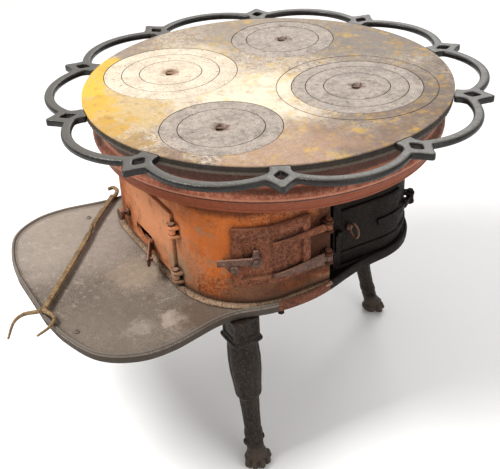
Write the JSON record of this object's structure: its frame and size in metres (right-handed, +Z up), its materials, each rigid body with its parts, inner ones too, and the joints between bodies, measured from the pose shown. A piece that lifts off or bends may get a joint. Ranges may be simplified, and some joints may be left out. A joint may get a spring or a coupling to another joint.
{
  "type": "wood burning cook stove",
  "caption": "Cast-iron wood-burning cook stove: round turning top with nested rings and lids, scalloped rail, bowed hearth, doors with latches and paw-footed legs.",
  "frame": {"origin": "on the floor, at the centre of the whole stove seen from above", "axes": "+Z up, -Y towards the hearth and front door, +X towards the side loading door"},
  "size_m": [0.8846, 1.0766, 0.7],
  "materials": {
    "top": "worn and burnished, stained with ochre",
    "ring": "worn grey",
    "rail": "blackened, worn bright on the flats",
    "rust": "orange rust, pitted",
    "black": "old black, flaking",
    "hearth": "dull taupe, scratched",
    "iron": "dark rusty",
    "poker": "tan rust, wrought"
  },
  "bodies": {
    "stove": {"tie_rod_front_right": "iron", "tie_rod_front_left": "iron", "tie_rod_rear_right": "iron", "tie_rod_rear_left": "iron", "hearth_plate": "hearth", "firebox_base": "rust", "oven_base": "black", "joint_bolt_right": "iron", "joint_bolt_left": "iron", "hearth_rivet_right": "iron", "hearth_rivet_left": "iron", "firebox_shell": "rust", "oven_shell": "black", "cornice_drum": "rust", "pivot_bridge": "iron", "fire_back": "iron", "liner_left": "iron", "liner_right": "iron", "fire_grate": "iron", "flue_collar": "black", "leg_right": "black", "leg_left": "black", "leg_rear": "black", "front_hinge_pin_upper": "iron", "front_hinge_pin_lower": "iron", "side_hinge_pin_upper": "iron", "side_hinge_pin_lower": "iron", "oven_hinge_pin_middle": "iron", "side_catch": "iron", "oven_keeper": "black"},
    "turning_top": {"top_plate": "top", "scalloped_rail": "rail", "pivot_stud": "iron"},
    "front_door": {"front_door": "rust", "draft_flap_pin": "iron"},
    "front_latch": {"front_latch": "iron"},
    "draft_flap": {"draft_flap": "iron"},
    "side_door": {"side_door": "rust", "side_strap_upper": "iron", "side_strap_lower": "rust", "side_latch_screw": "iron"},
    "side_latch": {"side_latch": "rust"},
    "oven_door": {"oven_door": "black", "oven_strap": "black"},
    "oven_latch": {"oven_ring": "black"},
    "poker": {"poker": "poker"},
    "outer_ring_large_body": {"outer_ring_large": "ring"},
    "inner_ring_large_body": {"inner_ring_large": "ring"},
    "lid_large_body": {"lid_large": "ring"},
    "outer_ring_rear_body": {"outer_ring_rear": "ring"},
    "inner_ring_rear_body": {"inner_ring_rear": "ring"},
    "lid_rear_body": {"lid_rear": "ring"},
    "outer_ring_near_body": {"outer_ring_near": "ring"},
    "lid_near_body": {"lid_near": "ring"},
    "outer_ring_far_body": {"outer_ring_far": "ring"},
    "lid_far_body": {"lid_far": "ring"}
  },
  "joints": [
    {"name": "top_turn", "type": "hinge", "parent": "stove", "child": "turning_top", "pos_m": [0, 0.09474, 0.69], "axis": [0, 0, 1], "continuous": true},
    {"name": "outer_ring_large_lift", "type": "slide", "parent": "turning_top", "child": "outer_ring_large_body", "axis": [0, 0, 1], "range_m": [0, 0.15]},
    {"name": "inner_ring_large_lift", "type": "slide", "parent": "outer_ring_large_body", "child": "inner_ring_large_body", "axis": [0, 0, 1], "range_m": [0, 0.15]},
    {"name": "lid_large_lift", "type": "slide", "parent": "inner_ring_large_body", "child": "lid_large_body", "axis": [0, 0, 1], "range_m": [0, 0.15]},
    {"name": "outer_ring_rear_lift", "type": "slide", "parent": "turning_top", "child": "outer_ring_rear_body", "axis": [0, 0, 1], "range_m": [0, 0.15]},
    {"name": "inner_ring_rear_lift", "type": "slide", "parent": "outer_ring_rear_body", "child": "inner_ring_rear_body", "axis": [0, 0, 1], "range_m": [0, 0.15]},
    {"name": "lid_rear_lift", "type": "slide", "parent": "inner_ring_rear_body", "child": "lid_rear_body", "axis": [0, 0, 1], "range_m": [0, 0.15]},
    {"name": "outer_ring_near_lift", "type": "slide", "parent": "turning_top", "child": "outer_ring_near_body", "axis": [0, 0, 1], "range_m": [0, 0.15]},
    {"name": "lid_near_lift", "type": "slide", "parent": "outer_ring_near_body", "child": "lid_near_body", "axis": [0, 0, 1], "range_m": [0, 0.15]},
    {"name": "outer_ring_far_lift", "type": "slide", "parent": "turning_top", "child": "outer_ring_far_body", "axis": [0, 0, 1], "range_m": [0, 0.15]},
    {"name": "lid_far_lift", "type": "slide", "parent": "outer_ring_far_body", "child": "lid_far_body", "axis": [0, 0, 1], "range_m": [0, 0.15]},
    {"name": "front_door_swing", "type": "hinge", "parent": "stove", "child": "front_door", "pos_m": [0.128, -0.19956, 0.46], "axis": [0, 0, 1], "range_deg": [0, 110]},
    {"name": "front_latch_turn", "type": "hinge", "parent": "front_door", "child": "front_latch", "pos_m": [-0.095, -0.19756, 0.44], "axis": [0, -1, 0], "range_deg": [0, 90]},
    {"name": "draft_flap_swing", "type": "hinge", "parent": "front_door", "child": "draft_flap", "pos_m": [0.02, -0.20156, 0.415], "axis": [0, 0, 1], "range_deg": [-152, 0]},
    {"name": "side_door_swing", "type": "hinge", "parent": "stove", "child": "side_door", "pos_m": [0.288, 0.04874, 0.48], "axis": [0, 0, 1], "range_deg": [0, 110]},
    {"name": "side_latch_turn", "type": "hinge", "parent": "side_door", "child": "side_latch", "pos_m": [0.27338, -0.10231, 0.486], "axis": [-0.9194, 0.3933, 0], "range_deg": [0, 80]},
    {"name": "oven_door_swing", "type": "hinge", "parent": "stove", "child": "oven_door", "pos_m": [0.20985, 0.3074, 0.458], "axis": [0, 0, 1], "range_deg": [0, 110]},
    {"name": "oven_latch_turn", "type": "hinge", "parent": "oven_door", "child": "oven_latch", "pos_m": [0.246, 0.11974, 0.472], "axis": [-1, 0, 0], "range_deg": [0, 90]},
    {"name": "poker_lift", "type": "slide", "parent": "stove", "child": "poker", "axis": [0, -0.8, 0.6], "range_m": [0, 0.3]}
  ]
}
